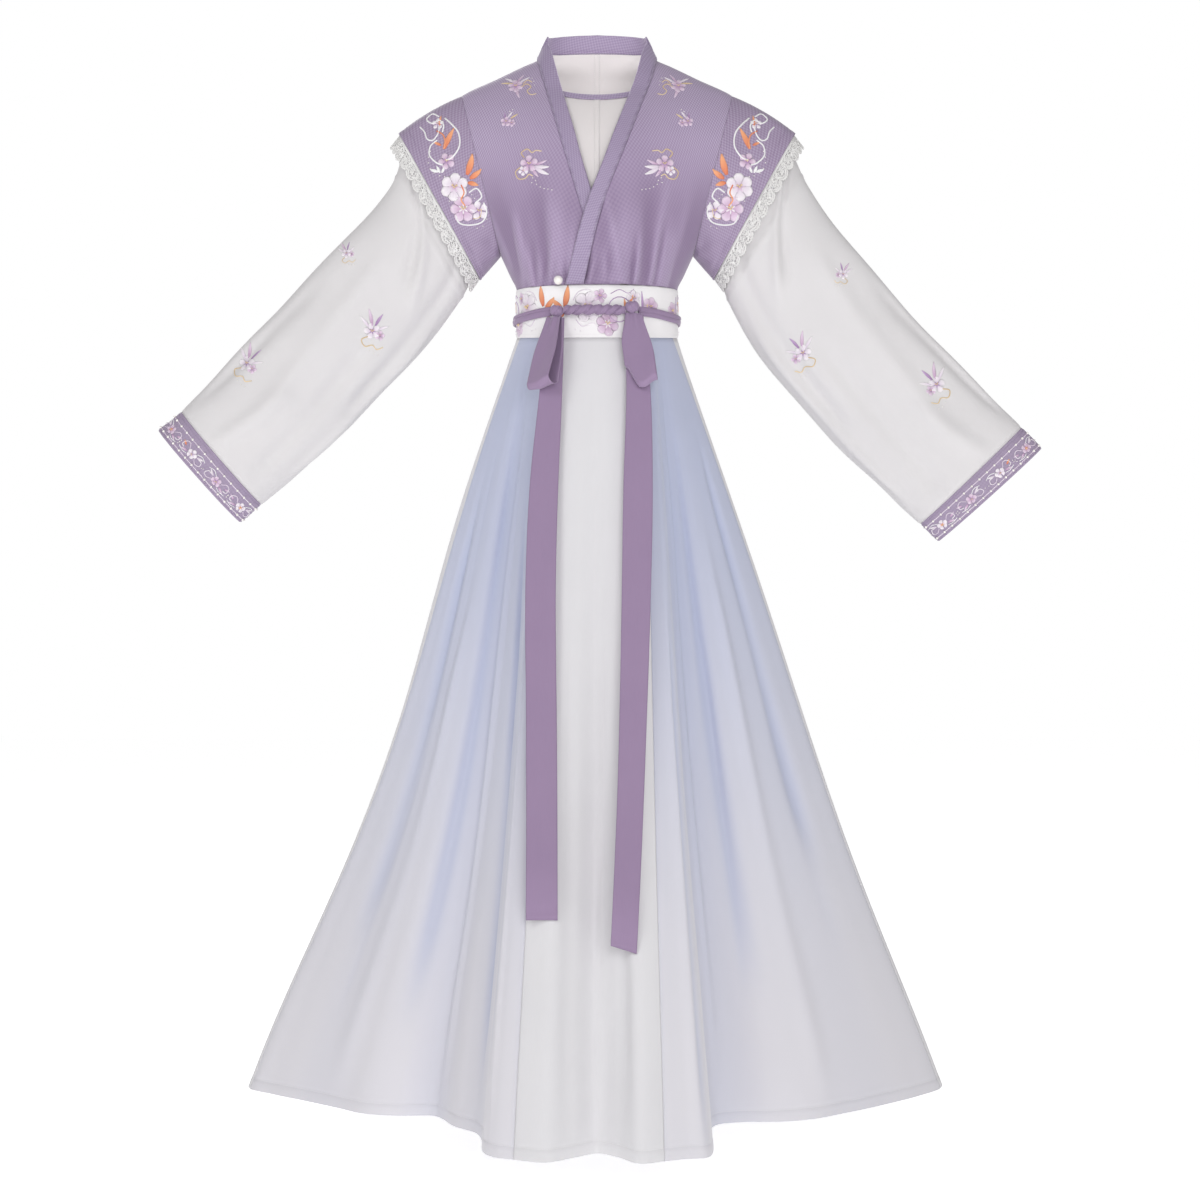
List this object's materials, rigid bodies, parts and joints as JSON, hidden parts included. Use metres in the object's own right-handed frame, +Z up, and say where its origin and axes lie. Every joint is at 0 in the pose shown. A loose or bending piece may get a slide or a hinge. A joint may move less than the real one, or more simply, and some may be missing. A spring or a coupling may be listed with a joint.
{
  "type": "hanfu robe",
  "caption": "Worn, hollow hanfu robe: crossed lilac jacket with cap sleeves, sheer long sleeves with cuffs, waistband, tied belt and a panelled floor-length skirt.",
  "frame": {"origin": "middle of the base of the neck, level with the inner ends of the shoulder seams, where the wearer's shoulders carry the robe", "axes": "+Z up, -Y to the front, +X to the wearer's left"},
  "size_m": [1.1728, 0.767, 1.4169],
  "materials": {
    "lilac_cloth": "fine checked jacquard, soft sheen",
    "lace": "matt cotton lace",
    "white_cloth": "fine matt voile",
    "sheer_cloth": "sheer chiffon",
    "blue_cloth": "fine voile dyed from blue at the waist to pale grey at the hem",
    "waistband_cloth": "plain weave with embroidery",
    "belt": "soft crepe",
    "pearl": "pearly"
  },
  "bodies": {
    "root": {"belt_band": "belt", "belt_knot_left": "belt", "belt_knot_right": "belt", "belt_loop_left": "belt", "belt_loop_right": "belt", "belt_tail_left": "belt", "belt_tail_right": "belt", "belt_twist": "belt", "cap_sleeve_left": "lilac_cloth", "cap_sleeve_right": "lilac_cloth", "collar": "lilac_cloth", "cuff_left": "lilac_cloth", "cuff_right": "lilac_cloth", "jacket_back": "lilac_cloth", "jacket_front_left": "lilac_cloth", "jacket_front_right": "lilac_cloth", "lace_left": "lace", "lace_right": "lace", "neckline_binding": "lilac_cloth", "pearl_button": "pearl", "shirt_back": "white_cloth", "shirt_front": "white_cloth", "skirt_back": "white_cloth", "skirt_blue_left": "blue_cloth", "skirt_blue_right": "blue_cloth", "skirt_front": "white_cloth", "sleeve_left": "sheer_cloth", "sleeve_right": "sheer_cloth", "waistband": "waistband_cloth"}
  },
  "joints": []
}
